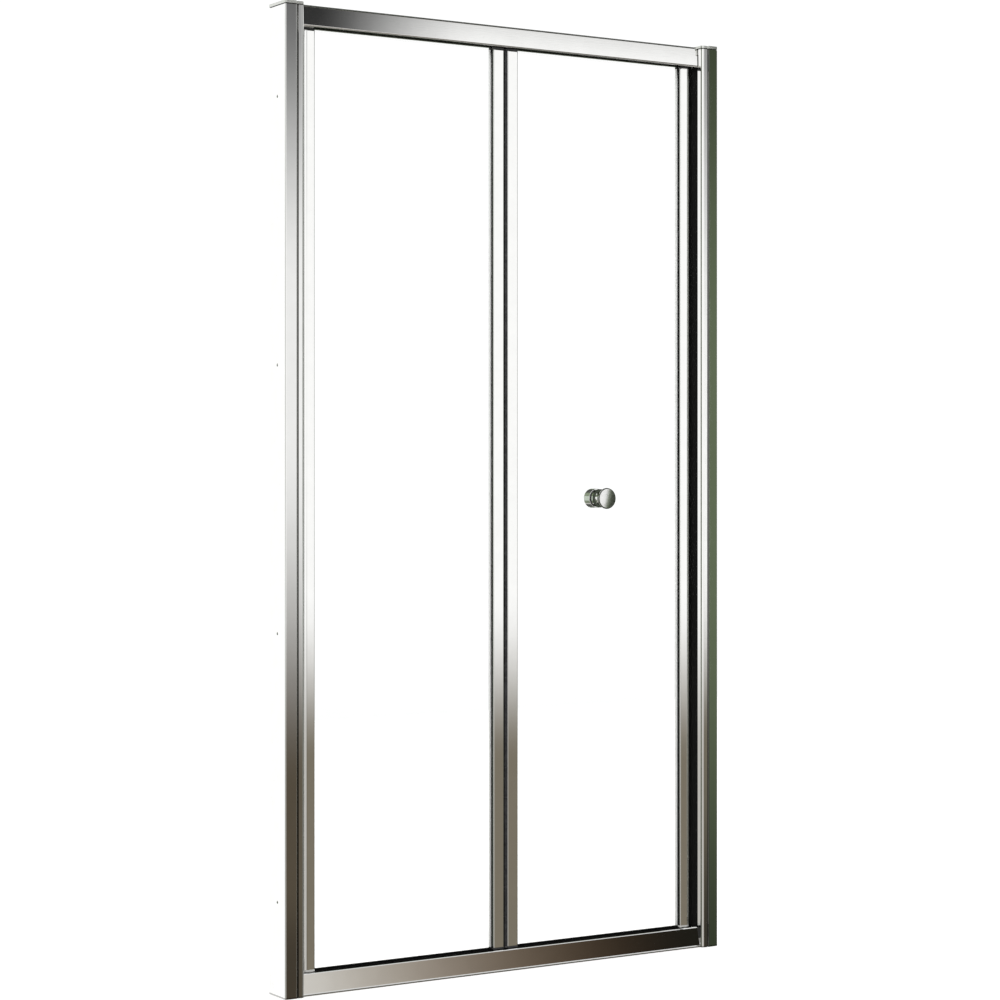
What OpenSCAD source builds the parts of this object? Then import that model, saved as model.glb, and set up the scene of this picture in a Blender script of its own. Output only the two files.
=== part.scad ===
// Bifold shower door: two framed glass leaves that fold inwards between two wall channels.
// X runs along the door, Y into the shower and Z up. The origin is on the floor under the
// middle of the door, in the plane of the glass. All sizes are in millimetres.

/* [Frame] */
// Overall width over both wall profiles
frame_w = 1000; // [800:10:1200]
// Overall height to the top of the end caps
frame_h = 1852; // [1600:2:2000]
// Width of one side of the frame, wall profile and jamb together
side_w = 40; // [38:0.5:44]
// Height of the end caps on top of the wall profiles and jambs
end_cap_h = 7.5; // [5:0.5:8]
// How far the end caps plug into the profiles
end_cap_plug = 10; // [6:1:16]
// Fitting gap round a plug
plug_gap = 0.2; // [0.1:0.05:0.3]

/* [Wall profile] */
// Width of the front flange
wall_face_w = 23.5; // [22:0.5:26]
// Thickness of the front flange
wall_face_t = 2.2; // [2:0.1:3]
// Thickness of the web and the rear flange
wall_web_t = 2.2; // [1.8:0.1:2.6]
// Distance from the glass plane to the front of the wall profile
wall_front = 47.6; // [46:0.1:52]
// Distance from the glass plane to the back of the wall profile
wall_back = 19; // [18:0.5:24]
// Radius of the crown of the front flange, which falls back towards the wall
wall_crown_r = 400; // [340:10:600]
// Distance from the wall to the middle of that crown
wall_crown_at = 33.5; // [30:0.5:38]
// Radius of the front flange's free edge
wall_edge_r = 1; // [0.8:0.2:1.8]
// Radius of the corner between the front flange and the web
wall_corner_r = 1.8; // [1.4:0.2:2.6]
// Radius of a wall screw hole
wall_screw_r = 2.75; // [2.25:0.25:3.5]
// Distance from each end of the frame to the nearest wall screw hole
wall_screw_margin = 176; // [120:2:300]

/* [Jamb] */
// Wall thickness of the jamb
jamb_t = 1.8; // [1.4:0.1:2.2]
// Sliding gap between the jamb and the wall profile
slide_gap = 0.3; // [0.2:0.05:0.4]
// Gap between the jamb's legs and the wall profile's web
adjust_gap = 3; // [2.5:0.5:5]
// Distance from the wall to the jamb's inner web
jamb_web_at = 18; // [14:0.5:20]
// Angle by which the jamb's front falls back towards the wall
face_lean = 1.7; // [1:0.1:2.4]
// How far the jamb's visible face stands proud of the part inside the wall profile
jamb_raise = 1.6; // [0.6:0.1:1.8]
// Radius of the jamb's front corner
jamb_front_r = 5.4; // [3:0.2:6]
// Radius of the jamb's rear corner
jamb_back_r = 2; // [1:0.5:4]
// Number of screws that fix each jamb in its wall profile
jamb_screws = 3; // [2:1:4]
// Distance from each end of the frame to the nearest jamb screw
jamb_screw_margin = 250; // [200:10:400]
// Distance from the wall to the jamb screws
jamb_screw_at = 12; // [11:0.5:14]

/* [Rails] */
// Distance from the glass plane to the front of the top rail
rail_front = 33; // [30:0.5:38]
// Distance from the glass plane to the back of both rails
rail_back = 14; // [13.5:0.5:16]
// Wall thickness of both rails
rail_t = 1.8; // [1.6:0.1:2.2]
// How far the top rail sits below the top of the frame
rail_drop = 2.8; // [0.8:0.2:6]
// Height of the top rail's front
top_rail_h = 40.4; // [37:0.2:50]
// How much shorter the top rail's back is than its front
top_rail_relief = 3; // [2.8:0.1:3.6]
// Angle by which the top rail's front leans back
top_lean = 1; // [0.5:0.1:1.2]
// Thickness of the top rail's front lip
top_lip_t = 3.6; // [2.4:0.1:5]
// Height of the top rail's front lip
top_lip_h = 4.2; // [4:0.1:5]
// Radius of the top rail's lower front edge
top_lip_r = 3.2; // [1:0.2:3.2]
// Radius of the top rail's upper front edge
top_edge_r = 4; // [2.4:0.2:5]
// Radius of the top rail's rear edge and of the bottom rail's foot
rail_edge_r = 1.4; // [0.6:0.2:1.6]
// Bevel at the front of the top rail's two ends
rail_end_bevel = 1.6; // [0.8:0.2:1.6]
// Height of the bottom rail's front lip
bottom_rail_h = 39.5; // [38:0.5:45]
// How much shorter the bottom rail's back is than its front
bottom_rail_relief = 2.1; // [1.8:0.1:3]
// Distance from the glass plane to the foot of the bottom rail
foot_front = 40.8; // [36:0.2:42]
// Distance from the glass plane to the front of the bottom rail's lip
bottom_lip_front = 29.6; // [28:0.2:31]
// Thickness of the bottom rail's lip
bottom_lip_t = 3; // [2.2:0.1:4]
// Height of the bead along the foot of the bottom rail
foot_bead_h = 2.4; // [2:0.2:4]
// Outer radius of the screw ports in the rails
port_r = 3.6; // [3.2:0.1:3.8]

/* [Track] */
// Wall thickness of the two track liners
track_t = 1.8; // [1.4:0.1:2]
// Depth of the groove that the guide rollers run in
groove_depth = 18.5; // [17:0.5:19]
// How far the bottom track lies below the bottom rail's front lip
track_drop = 7; // [6:0.5:8]
// Radius of a guide roller
roller_r = 8.7; // [7:0.1:9]
// Height of a guide roller
roller_h = 9; // [7:0.5:9]
// Gap between a guide roller and each side of its groove
roller_gap = 0.3; // [0.2:0.05:0.4]

/* [Leaves] */
// Thickness of a leaf over its stiles
leaf_t = 22; // [20:0.5:23]
// Gap between the left jamb and the left leaf
pivot_gap = 16; // [14:0.5:20]
// Gap between the two leaves
hinge_gap = 7; // [6.8:0.1:8]
// Gap between the right leaf and the right jamb
closing_gap = 4; // [4:0.1:6]
// How far the leaves reach down behind the bottom rail's lip
bottom_overlap = 0.9; // [0.4:0.1:1.2]
// How far the leaves reach up behind the top rail's lip
top_overlap = 1.8; // [0.6:0.1:2]
// Furthest angle that the left leaf turns
fold_angle = 80; // [60:1:84]

/* [Stiles] */
// Width of a stile
stile_w = 25; // [24.5:0.5:30]
// Wall thickness of a stile
stile_t = 1.6; // [1.4:0.1:1.8]
// Width of the hollow chamber along a stile's outer edge
chamber_w = 10; // [9.6:0.1:10.4]
// Thickness of the stile's two lips beside the glass
stile_lip_t = 2.4; // [2.2:0.1:2.8]
// Depth of those lips
stile_lip_w = 4; // [3:0.5:5]
// Radius of the front outer corner of the pivot stile and of the closing stile
stile_front_r = 8; // [3:0.5:8.5]
// Radius of the rear outer corners of those two stiles
stile_edge_r = 4.5; // [3:0.5:5]
// Radius of the outer corners of the two hinge stiles
hinge_edge_r = 2.6; // [2:0.2:4]
// Radius of a stile's corners beside the glass
stile_lip_r = 2; // [1:0.2:2]
// Thickness of the plates that close the stiles' ends
stile_cap_t = 3.8; // [3:0.2:4.4]
// How far those plates plug into the stiles
stile_cap_plug = 14; // [10:1:20]

/* [Glass and seals] */
// Thickness of the glass
glass_t = 6; // [5:0.5:8]
// How deep the glass sits in each stile
glass_bite = 10; // [8:0.5:11]
// How far the glass edges stay inside the leaf's top and bottom
glass_inset = 1.4; // [1:0.1:2]
// How far a glazing gasket stands proud of its stile
gasket_proud = 0.4; // [0.2:0.1:1]
// Thickness of the bottom seal's two legs
seal_leg_t = 1.4; // [1:0.1:2]
// Height of the bottom seals
bottom_seal_h = 3; // [2.4:0.1:4]
// Thickness of the closing seal's base
closing_base_t = 2.2; // [1.8:0.1:2.4]
// Clearance between the closing seal and the shut leaf
closing_clear = 1; // [0.8:0.1:1.2]
// Width of the two magnet strips
magnet_w = 7; // [5:0.5:9]
// Thickness of the two magnet strips
magnet_t = 1.6; // [1.2:0.1:1.8]
// Clearance between the pivot seal's fin and the turning stile
fin_clear = 0.9; // [0.6:0.1:2]
// Thickness of the pivot seal's fin
fin_t = 2; // [1.2:0.2:3]

/* [Hinge and pivots] */
// Number of knuckles along the centre hinge
knuckles = 30; // [10:2:36]
// Outer radius of a knuckle
knuckle_r = 3.1; // [2.8:0.1:3.2]
// Radius of the hinge pin
hinge_pin_r = 1.5; // [1.2:0.1:1.7]
// Gap between neighbouring knuckles
knuckle_gap = 0.4; // [0.3:0.1:0.8]
// Thickness of the hinge's two flat strips
strip_t = 1.5; // [1.2:0.1:1.8]
// Number of screws in each hinge strip
strip_screws = 8; // [4:1:12]
// Radius of a pivot pin
pivot_r = 3; // [2.5:0.1:3.4]
// Radius of a guide pin
guide_r = 2.5; // [2:0.1:3]
// Radial clearance of a turning pin in its bore
running_gap = 0.05; // [0.03:0.01:0.08]
// Radius of the fixing screws' shanks
screw_r = 2; // [1.6:0.1:2.2]
// Radial clearance of a fixing screw in its hole
screw_gap = 0.05; // [0.03:0.01:0.1]
// Length of the pivot blocks along the rails
pivot_block_l = 42; // [38:1:60]
// Length of the travel stops along the rails
stop_l = 16; // [8:1:30]

/* [Knob] */
// Distance from the closing edge of the right leaf to the knob
knob_from_edge = 223.25; // [80:0.25:240]
// Height of the knob above the floor
knob_z = 923; // [800:1:1100]
// Radius of the front knob's face
knob_face_r = 21; // [19:0.5:26]
// Length of the front knob
knob_l = 30.8; // [27:0.2:36]
// Radius of the front knob's neck
knob_neck_r = 13; // [10:0.5:14]
// Radius of the front knob's base flange
knob_base_r = 18.5; // [18:0.5:22]
// Thickness of the front knob's base flange
knob_base_t = 5.3; // [3:0.1:7]
// Height of the front knob's rim below its rounded edge
knob_rim_t = 1.2; // [0.8:0.2:3]
// Radius of the dome of the front knob's face
knob_dome_r = 500; // [150:10:800]
// Radius of the rear knob
rear_knob_r = 19.25; // [18:0.25:24]
// Length of the rear knob
rear_knob_l = 20.8; // [18:0.1:26]
// Radius of the two washers at the glass
washer_r = 17; // [13:0.5:17.5]
// Thickness of the two washers at the glass
washer_t = 1.2; // [0.8:0.1:2]
// Outer radius of the bush in the glass hole
bush_r = 6; // [5:0.5:8]
// Radius of the screw through the knob
knob_screw_r = 3; // [2.5:0.1:3.2]

/* [Hidden] */
$fn = 64;

metal = "silver";
rubber = [0.08, 0.08, 0.08];
nylon = [0.92, 0.92, 0.9];
grey_plastic = [0.25, 0.25, 0.26];
cap_plastic = [0.72, 0.72, 0.72];
clear_glass = [0.75, 0.9, 0.85, 0.3];
clear_plastic = [0.86, 0.88, 0.87, 0.6];
steel = [0.6, 0.6, 0.62];

eps = 0.01;
cut = 1;

// Frame
half_w = frame_w / 2;
opening_half = half_w - side_w;
profile_h = frame_h - end_cap_h;
cap_foot_h = 1.9;
cap_foot_inset = 1.3;
cap_step = 0.6;
crown_y = sqrt(pow(wall_crown_r, 2) - pow(wall_crown_at - wall_face_w, 2)) - wall_front;
jamb_front = wall_front - wall_face_t - slide_gap;
jamb_back = wall_back - wall_web_t - slide_gap;
jamb_leg_at = wall_web_t + adjust_gap;
jamb_inner_at = side_w - jamb_t;
wall_screw_step = (frame_h - 2 * wall_screw_margin) / 3;
wall_screw_y = (wall_back - wall_front) / 2;
jamb_screw_step = (frame_h - 2 * jamb_screw_margin) / (jamb_screws - 1);

// Rails
top_rail_z = frame_h - rail_drop;
top_lip_z = top_rail_z - top_rail_h;
top_track_z = top_lip_z + top_lip_h;
bottom_track_z = bottom_rail_h - track_drop;
groove_half = roller_r + roller_gap;
rail_depth = rail_front + rail_back;
bead_step = 1.8;
port_bite = 1;
lip_chamfer = 1.2;
ledge_h = 1.2;
port_clear = 0.4;
port_front_y = -rail_front + rail_t + port_r - port_bite;
port_back_y = rail_back - rail_t - port_r + port_bite;
top_port_z = top_track_z + groove_depth + track_t + port_r + port_clear;
bottom_port_z = rail_t + port_r - port_bite;
bottom_port_front_y = -bottom_lip_front + port_r;
lip_lean = (foot_front - bead_step - bottom_lip_front)
           / (bottom_rail_h - lip_chamfer - foot_bead_h - bead_step);
lean_t = rail_t * sqrt(1 + pow(lip_lean, 2));
ledge_z = bottom_track_z - track_t - ledge_h;

// Leaves
leaf_w = opening_half - (pivot_gap + closing_gap + hinge_gap) / 2;
leaf_x0 = pivot_gap - opening_half;
hinge_x = leaf_x0 + leaf_w + hinge_gap / 2;
hinge_y = -leaf_t / 2;
leaf_z0 = bottom_rail_h - bottom_overlap;
leaf_z1 = top_lip_z + top_overlap;
stile_z0 = leaf_z0 + stile_cap_t;
stile_z1 = leaf_z1 - stile_cap_t;
stile_l = stile_z1 - stile_z0;
channel_at = 2 * stile_t + chamber_w;
glass_at = stile_w - glass_bite;
glass_x0 = leaf_x0 + glass_at;
glass_w = leaf_w - 2 * glass_at;
glass_z0 = leaf_z0 + glass_inset;
glass_h = leaf_z1 - leaf_z0 - glass_inset - glass_inset / 2;
mouth_half = leaf_t / 2 - stile_lip_t;
channel_half = leaf_t / 2 - stile_t;
// Middle of the flat wall between the two rounded corners of an outer stile
magnet_y = (stile_front_r - stile_edge_r) / 2;

// Fold: the pivot and the guide stand equally far from the hinge axis, so the right leaf
// turns back by twice the left leaf's angle while the guide stays in the glass plane
pivot_x = leaf_x0 + stile_t + chamber_w / 2;
guide_x = 2 * hinge_x - pivot_x;
arm_l = sqrt(pow(hinge_x - pivot_x, 2) + pow(hinge_y, 2));
arm_lean = atan(-hinge_y / (hinge_x - pivot_x));
folded_guide_x = pivot_x + 2 * arm_l * cos(fold_angle - arm_lean);
stop_x = folded_guide_x - roller_r - roller_gap;

// Pivots and guides
collar_r = 5.2;
collar_t = 1.6;
face_gap = 0.3;
thrust_t = 1;
thrust_z = leaf_z0 - collar_t - face_gap - thrust_t;
pin_tail = 3;
guide_head_t = 1.6;
guide_head_r = 4;
bottom_roller_z = bottom_track_z - groove_depth + pin_tail;
top_roller_z = top_track_z + groove_depth - pin_tail - roller_h;

// Hinge
knuckle_pitch = stile_l / knuckles;
strip_y0 = hinge_y + knuckle_r + 0.6;
strip_y1 = leaf_t / 2 - 3;
strip_screw_y = (strip_y0 + strip_y1) / 2 - 2;
strip_screw_r = 1.6;
strip_screw_l = 8;
strip_head_r = 2.9;
hinge_head_t = 1;
hinge_seal_y = strip_y1 - 3.4;
hinge_seal_h = 3.4;

// Knob
knob_x = 2 * hinge_x - leaf_x0 - knob_from_edge;
glass_hole_r = bush_r + 0.2;
knob_waist_at = 11;
knob_tap_l = 17;
knob_screw_spare = 2;
knob_socket_r = 5.5;
knob_head_h = 5;
knob_seat = washer_t + rear_knob_l - knob_head_h - 1;
knob_screw_l = knob_seat + glass_t + washer_t + knob_tap_l - knob_screw_spare;

// ---- Helpers ----

// Rectangle with its own radius at each corner, in the order SW, SE, NE, NW
module rounded_rect(x0, y0, x1, y1, radii) {
    difference() {
        translate([x0, y0]) square([x1 - x0, y1 - y0]);
        corner_cut(x0, y0, 1, 1, radii[0]);
        corner_cut(x1, y0, -1, 1, radii[1]);
        corner_cut(x1, y1, -1, -1, radii[2]);
        corner_cut(x0, y1, 1, -1, radii[3]);
    }
}

// What a rounding takes off a square corner at [x, y], where sx and sy point inwards
module corner_cut(x, y, sx, sy, r) {
    if (r > 0)
        translate([x, y])
            mirror([sx < 0 ? 1 : 0, 0, 0])
                mirror([0, sy < 0 ? 1 : 0, 0])
                    difference() {
                        translate([-cut, -cut]) square(r + cut);
                        translate([r, r]) circle(r);
                    }
}

// What a rounding takes off the corner between an upright side and a front that leans by an
// angle: the circle's centre is at [x, y], and sx points inwards from the side
module front_corner_cut(x, y, r, lean, sx) {
    flat_x = x - r * sin(lean);
    if (r > 0) difference() {
        translate([sx > 0 ? x - r - cut : flat_x, y - r - 2 * cut])
            square([sx > 0 ? flat_x - x + r + cut : x + r + cut - flat_x, r + 2 * cut]);
        translate([x, y]) circle(r);
    }
}

// A side of the frame drawn from its wall: side -1 is the left one and 1 the right one
module at_side(side) {
    mirror([side > 0 ? 1 : 0, 0, 0]) translate([-half_w, 0, 0]) children();
}

// The right leaf is the left one mirrored in the hinge axis
module right_leaf() {
    translate([2 * hinge_x, 0, 0]) mirror([1, 0, 0]) children();
}

// A stile drawn from its outer edge towards the glass: left or right stile of the left leaf
module at_outer_stile() {
    translate([leaf_x0, 0, 0]) children();
}

module at_inner_stile() {
    translate([leaf_x0 + leaf_w, 0, 0]) mirror([1, 0, 0]) children();
}

// A section drawn in Y and Z, run along X from x0 to x1
module along_x(x0, x1) {
    translate([x0, 0, 0]) rotate([90, 0, 90]) linear_extrude(x1 - x0) children();
}

// A flat-headed screw along +Z: its head ends at z = 0 and its shank starts there
module screw(shank_r, shank_l, head_r, head_h) {
    translate([0, 0, -head_h]) cylinder(r = head_r, h = head_h);
    translate([0, 0, -eps]) cylinder(r = shank_r, h = shank_l + eps);
}

// ---- Frame sections ----

module wall_profile_section() {
    inner_y = -wall_front + wall_face_t;
    difference() {
        wall_profile_outline(0);
        polygon([
            [wall_web_t, inner_y + (wall_face_w - wall_web_t) * tan(face_lean)],
            [wall_face_w, inner_y],
            [wall_face_w + cut, inner_y],
            [wall_face_w + cut, wall_back - wall_web_t],
            [wall_web_t, wall_back - wall_web_t]
        ]);
    }
}

// Outline of the wall profile with its crowned front, drawn in by inset all round
module wall_profile_outline(inset) {
    difference() {
        intersection() {
            translate([inset, -wall_front])
                square([wall_face_w - 2 * inset, wall_front + wall_back - inset]);
            translate([wall_crown_at, crown_y]) circle(wall_crown_r - inset, $fn = 360);
        }
        crown_corner_cut(wall_corner_r, wall_corner_r, inset, 1);
        crown_corner_cut(wall_face_w - wall_edge_r, wall_edge_r, inset, -1);
    }
}

// Rounding between the crown and one side of the flange: its centre is at the distance x
module crown_corner_cut(x, r, inset, sx) {
    lean = asin((wall_crown_at - x) / (wall_crown_r - r));
    front_corner_cut(x, crown_y - (wall_crown_r - r) * cos(lean), r - inset, lean, sx);
}

// Front of the jamb at the distance x from the wall, without its raised face
function jamb_face_y(x) = -jamb_front - (x - wall_face_w) * tan(face_lean);

// Outline of the jamb from the distance x0, drawn in by inset at its front, side and back; its
// face is raised beyond the reach of the flange when the jamb is pushed right in
module jamb_outline(x0, inset) {
    drop = inset / cos(face_lean);
    step_x = wall_face_w + adjust_gap;
    corner_x = side_w - jamb_front_r;
    corner_y = jamb_face_y(corner_x) - jamb_raise + jamb_front_r / cos(face_lean);
    difference() {
        polygon([
            [x0, jamb_face_y(x0) + drop],
            [step_x, jamb_face_y(step_x) + drop],
            [step_x + jamb_raise / 2, jamb_face_y(step_x + jamb_raise / 2) - jamb_raise + drop],
            [side_w - inset, jamb_face_y(side_w - inset) - jamb_raise + drop],
            [side_w - inset, jamb_back - inset],
            [x0, jamb_back - inset]
        ]);
        front_corner_cut(corner_x, corner_y, jamb_front_r - inset, face_lean, -1);
        corner_cut(side_w - inset, jamb_back - inset, -1, -1, jamb_back_r - inset);
    }
}

module jamb_section() {
    channel_front = jamb_face_y(jamb_leg_at) + jamb_t;
    difference() {
        jamb_outline(jamb_leg_at, 0);
        translate([jamb_leg_at - cut, channel_front])
            square([jamb_web_at - jamb_leg_at + cut, jamb_back - jamb_t - channel_front]);
        intersection() {
            jamb_outline(jamb_web_at + jamb_t, jamb_t);
            translate([jamb_web_at, -wall_front]) square([side_w, wall_front + wall_back]);
        }
    }
}

// Outline of the top rail: its front leans back, and its back is shorter
module top_rail_outline() {
    front_r = [top_lip_r, top_edge_r];
    front_z = [top_lip_z + top_lip_r, top_rail_z - top_edge_r];
    difference() {
        polygon([
            [-rail_front, top_lip_z],
            [0, top_lip_z],
            [0, top_lip_z + top_rail_relief],
            [rail_back, top_lip_z + top_rail_relief],
            [rail_back, top_rail_z],
            [-rail_front + top_rail_h * tan(top_lean), top_rail_z]
        ]);
        for (k = [0, 1])
            mirror([1, -1, 0])
                front_corner_cut(front_z[k], -rail_front + (front_z[k] - top_lip_z) * tan(top_lean)
                                 + front_r[k] / cos(top_lean), front_r[k], -top_lean, 1 - 2 * k);
        corner_cut(rail_back, top_rail_z, -1, -1, rail_edge_r);
    }
}

module top_rail_section() {
    inner_y = -rail_front + rail_t;
    inner_z = top_rail_z - rail_t;
    liner_z = top_track_z + track_t;
    chamfer = top_edge_r - rail_t;
    difference() {
        union() {
            difference() {
                top_rail_outline();
                polygon([
                    [inner_y, top_lip_z - cut],
                    [rail_back - rail_t, top_lip_z - cut],
                    [rail_back - rail_t, inner_z],
                    [inner_y + (inner_z - liner_z) * tan(top_lean) + chamfer, inner_z],
                    [inner_y + (inner_z - liner_z) * tan(top_lean), inner_z - chamfer],
                    [inner_y, liner_z]
                ]);
            }
            intersection() {
                top_rail_outline();
                translate([-rail_front, top_lip_z]) square([top_lip_t, top_lip_h]);
            }
            translate([rail_back - rail_t - track_t, top_lip_z + top_rail_relief])
                square([track_t + eps, top_lip_h - top_rail_relief]);
            for (y = [port_front_y, port_back_y]) translate([y, top_port_z]) circle(port_r);
        }
        for (y = [port_front_y, port_back_y])
            translate([y, top_port_z]) circle(screw_r + screw_gap);
    }
}

// Front face of the bottom rail: it leans back from its foot to its lip
module bottom_rail_outline() {
    polygon([
        [-foot_front, 0],
        [rail_back, 0],
        [rail_back, bottom_rail_h - bottom_rail_relief],
        [rail_back - rail_t, bottom_rail_h - bottom_rail_relief],
        [rail_back - rail_t, rail_t],
        [-foot_front + bead_step + lean_t, rail_t],
        [-foot_front + bead_step + lean_t, foot_bead_h + bead_step],
        [-foot_front + bead_step + lean_t + lip_lean * (ledge_z - foot_bead_h - bead_step), ledge_z],
        [-bottom_lip_front + bottom_lip_t + track_t, ledge_z],
        [-bottom_lip_front + bottom_lip_t + track_t, bottom_track_z - track_t],
        [-bottom_lip_front + bottom_lip_t, bottom_track_z - track_t],
        [-bottom_lip_front + bottom_lip_t, bottom_rail_h],
        [-bottom_lip_front + lip_chamfer, bottom_rail_h],
        [-bottom_lip_front, bottom_rail_h - lip_chamfer],
        [-foot_front + bead_step, foot_bead_h + bead_step],
        [-foot_front, foot_bead_h]
    ]);
}

module bottom_rail_section() {
    difference() {
        union() {
            bottom_rail_outline();
            translate([groove_half + track_t, ledge_z])
                square([rail_back - rail_t - groove_half - track_t + eps, ledge_h]);
            for (y = [bottom_port_front_y, port_back_y])
                translate([y, bottom_port_z]) circle(port_r);
        }
        for (y = [bottom_port_front_y, port_back_y])
            translate([y, bottom_port_z]) circle(screw_r + screw_gap);
        corner_cut(-foot_front, 0, 1, 1, rail_edge_r);
    }
}

// A track liner: a flat with a groove behind it, from y0 to y1; dir is 1 for a groove upwards
module track_section(y0, y1, z, dir) {
    mirror([0, dir > 0 ? 0 : 1, 0]) translate([0, dir > 0 ? z : -z]) {
        difference() {
            union() {
                translate([y0, 0]) square([y1 - y0, track_t]);
                translate([-groove_half - track_t, 0])
                    square([2 * (groove_half + track_t), groove_depth + track_t]);
            }
            translate([-groove_half, -cut]) square([2 * groove_half, groove_depth + cut]);
        }
    }
}

// ---- Frame pieces ----

module wall_profile(side) {
    at_side(side) difference() {
        linear_extrude(profile_h) wall_profile_section();
        for (k = [0:3])
            translate([-cut, wall_screw_y, wall_screw_margin + k * wall_screw_step])
                rotate([0, 90, 0]) cylinder(r = wall_screw_r, h = wall_web_t + 2 * cut);
        for (k = [0:jamb_screws - 1])
            translate([jamb_screw_at, jamb_back, jamb_screw_margin + k * jamb_screw_step])
                rotate([-90, 0, 0]) cylinder(r = screw_r + screw_gap, h = wall_web_t + slide_gap + cut);
    }
}

module left_wall_profile() {
    color(metal) wall_profile(-1);
}

module right_wall_profile() {
    color(metal) wall_profile(1);
}

// The points in Y and Z where screws pass through a jamb into the rails
rail_screw_points = [
    [port_front_y, top_port_z], [port_back_y, top_port_z],
    [bottom_port_front_y, bottom_port_z], [port_back_y, bottom_port_z]
];

module jamb(side) {
    at_side(side) difference() {
        linear_extrude(profile_h) jamb_section();
        for (p = rail_screw_points) translate([0, p[0], p[1]]) rotate([0, 90, 0]) {
            cylinder(r = screw_r + screw_gap, h = side_w + cut);
            translate([0, 0, jamb_web_at - cut]) cylinder(r = 2 * screw_r + 1, h = jamb_t + 2 * cut);
        }
        for (k = [0:jamb_screws - 1])
            translate([jamb_screw_at, jamb_back + cut, jamb_screw_margin + k * jamb_screw_step])
                rotate([90, 0, 0]) cylinder(r = screw_r + screw_gap, h = jamb_t + 2 * cut);
    }
}

module left_jamb() {
    color(metal) jamb(-1);
}

module right_jamb() {
    color(metal) jamb(1);
}

module wall_profile_cap(side) {
    at_side(side) {
        translate([0, 0, profile_h]) linear_extrude(cap_foot_h + eps)
            wall_profile_outline(cap_foot_inset);
        translate([0, 0, profile_h + cap_foot_h]) linear_extrude(end_cap_h - cap_foot_h)
            wall_profile_outline(0);
        translate([0, 0, profile_h - end_cap_plug])
            linear_extrude(end_cap_plug + eps)
                rounded_rect(wall_web_t + plug_gap, -jamb_front + jamb_t + 1.5,
                             jamb_web_at - plug_gap, jamb_back - jamb_t - plug_gap, [1, 1, 1, 1]);
    }
}

module left_wall_profile_cap() {
    color(cap_plastic) wall_profile_cap(-1);
}

module right_wall_profile_cap() {
    color(cap_plastic) wall_profile_cap(1);
}

module jamb_cap(side) {
    at_side(side) {
        translate([0, 0, profile_h]) linear_extrude(cap_foot_h + eps)
            jamb_outline(wall_face_w + plug_gap, cap_foot_inset);
        translate([0, 0, profile_h + cap_foot_h]) linear_extrude(end_cap_h - cap_foot_h - cap_step)
            jamb_outline(wall_face_w + plug_gap, 0);
        translate([0, 0, profile_h - end_cap_plug])
            linear_extrude(end_cap_plug + eps)
                intersection() {
                    jamb_outline(wall_face_w + plug_gap, jamb_t + plug_gap);
                    translate([0, -wall_front]) square([side_w, wall_front - rail_front - 1]);
                }
    }
}

module left_jamb_cap() {
    color(cap_plastic) jamb_cap(-1);
}

module right_jamb_cap() {
    color(cap_plastic) jamb_cap(1);
}

module top_rail() {
    bevel = rail_end_bevel * sqrt(2);
    color(metal) difference() {
        along_x(-opening_half, opening_half) top_rail_section();
        for (side = [-1, 1])
            translate([side * opening_half, -rail_front, top_lip_z])
                rotate([-top_lean, 0, 0]) rotate([0, 0, 45])
                    translate([-bevel / 2, -bevel / 2, -cut])
                        cube([bevel, bevel, top_rail_h + 2 * cut]);
    }
}

module bottom_rail() {
    color(metal) along_x(-opening_half, opening_half) bottom_rail_section();
}

module top_track() {
    y1 = rail_back - rail_t;
    color(rubber) along_x(-opening_half, opening_half)
        track_section(-rail_front + rail_t, y1, top_track_z, 1);
}

module bottom_track() {
    y0 = -bottom_lip_front + bottom_lip_t;
    y1 = rail_back - rail_t;
    color(rubber) along_x(-opening_half, opening_half) {
        track_section(y0, y1, bottom_track_z, -1);
        translate([y0, bottom_track_z - track_t])
            square([track_t, track_t + track_drop - bottom_rail_relief - 1]);
        translate([y1 - track_t, bottom_track_z - track_t])
            square([track_t, track_t + track_drop - bottom_rail_relief - 1]);
    }
}

module rail_screws() {
    head_h = 2.4;
    color(steel) for (side = [-1, 1]) at_side(side)
        for (p = rail_screw_points)
            translate([jamb_inner_at, p[0], p[1]])
                rotate([0, 90, 0]) screw(screw_r, jamb_t + 20, 2 * screw_r, head_h);
}

module jamb_fixings(side) {
    head_h = 2.2;
    at_side(side) for (k = [0:jamb_screws - 1])
        translate([jamb_screw_at, wall_back, jamb_screw_margin + k * jamb_screw_step])
            rotate([90, 0, 0]) screw(screw_r, 12, 2 * screw_r, head_h);
}

module left_jamb_screws() {
    color(steel) jamb_fixings(-1);
}

module right_jamb_screws() {
    color(steel) jamb_fixings(1);
}

// Round snap-on covers over the heads of the jamb screws
module screw_covers(side) {
    cover_r = 2 * screw_r + 2.2;
    cover_h = 3.6;
    skin = 1.2;
    at_side(side) for (k = [0:jamb_screws - 1])
        translate([jamb_screw_at, wall_back, jamb_screw_margin + k * jamb_screw_step])
            rotate([-90, 0, 0]) rotate_extrude() difference() {
                rounded_rect(0, 0, cover_r, cover_h, [0, 0, skin, 0]);
                translate([-cut, -cut]) square([cover_r - skin + cut, cover_h - skin + cut]);
            }
}

module left_screw_covers() {
    color(cap_plastic) screw_covers(-1);
}

module right_screw_covers() {
    color(cap_plastic) screw_covers(1);
}

module top_pivot_block() {
    side_gap = plug_gap / 2;
    color(nylon) difference() {
        translate([-opening_half, -groove_half + side_gap, top_track_z + side_gap])
            cube([pivot_block_l, 2 * (groove_half - side_gap), groove_depth - side_gap]);
        translate([pivot_x, 0, top_track_z - cut])
            cylinder(r = pivot_r + running_gap, h = groove_depth + 2 * cut);
    }
}

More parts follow.
